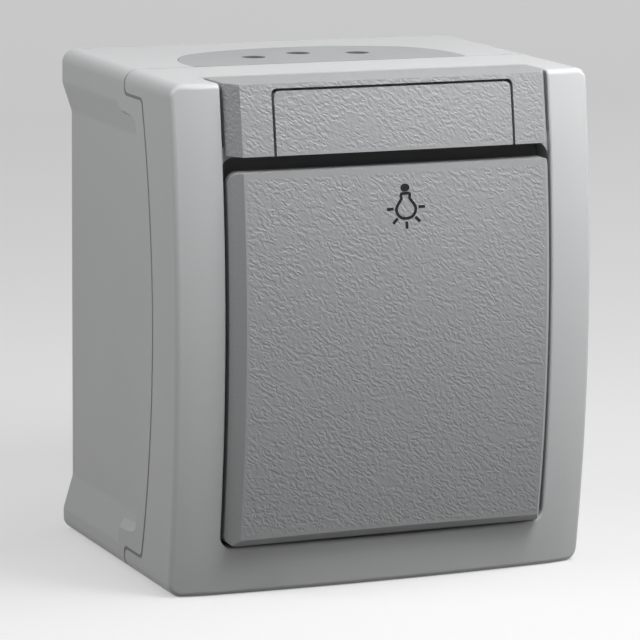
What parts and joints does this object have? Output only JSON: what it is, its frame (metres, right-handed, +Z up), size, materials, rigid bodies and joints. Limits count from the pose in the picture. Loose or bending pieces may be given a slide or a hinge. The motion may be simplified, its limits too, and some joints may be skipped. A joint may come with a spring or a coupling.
{
  "type": "surface mounted light push switch",
  "caption": "Surface-mounted light push switch with a large textured key, a label band over it, a bowed cover on a waisted back box and a soft cable entry on top.",
  "frame": {"origin": "centre of the back face, on the wall plane", "axes": "+Y points into the wall, +X to the right seen from the front, +Z up"},
  "size_m": [0.066, 0.0536, 0.075],
  "materials": {
    "housing": "satin, smooth",
    "key_plastic": "satin, fine leather grain",
    "soft_grey": "matt",
    "soft_black": "matt",
    "insert_plastic": "smooth",
    "dark_plastic": "smooth",
    "zinc_steel": "zinc plated",
    "spring_steel": "drawn wire",
    "brass": "stamped",
    "silver": "polished silver alloy"
  },
  "bodies": {
    "housing": {"back_box": "housing", "front_cover": "housing", "label_band": "key_plastic", "marking_plate": "key_plastic", "entry_membrane": "soft_grey", "cover_gasket": "soft_black", "key_seal": "soft_black", "cover_screws": "zinc_steel", "insert_screws": "zinc_steel", "support_plate": "zinc_steel", "return_spring": "spring_steel", "pivot_pin": "spring_steel", "insert_base": "insert_plastic", "insert_cover": "insert_plastic", "insert_rivets": "brass", "fixed_contact_line": "brass", "fixed_contact_load": "brass", "fixed_tips": "silver", "terminal_clamps": "brass", "terminal_screws": "zinc_steel"},
    "key": {"push_key": "key_plastic", "key_carrier": "dark_plastic"},
    "plunger": {"contact_plunger": "dark_plastic", "bridge_contact": "brass", "bridge_tips": "silver"}
  },
  "joints": [
    {"name": "key_hinge", "type": "hinge", "parent": "housing", "child": "key", "pos_m": [0, -0.043, -0.00243], "axis": [-1, 0, 0], "range_deg": [0, 5], "stiffness_Nm_per_rad": 0.8, "springref_deg": -3.44},
    {"name": "plunger_slide", "type": "slide", "parent": "housing", "child": "plunger", "axis": [0, 1, 0], "range_m": [0, 0.00114], "deforming": ["return_spring"]}
  ],
  "couplings": [
    {"joint": "plunger_slide", "follows": "key_hinge", "m_per_rad": 0.013}
  ]
}
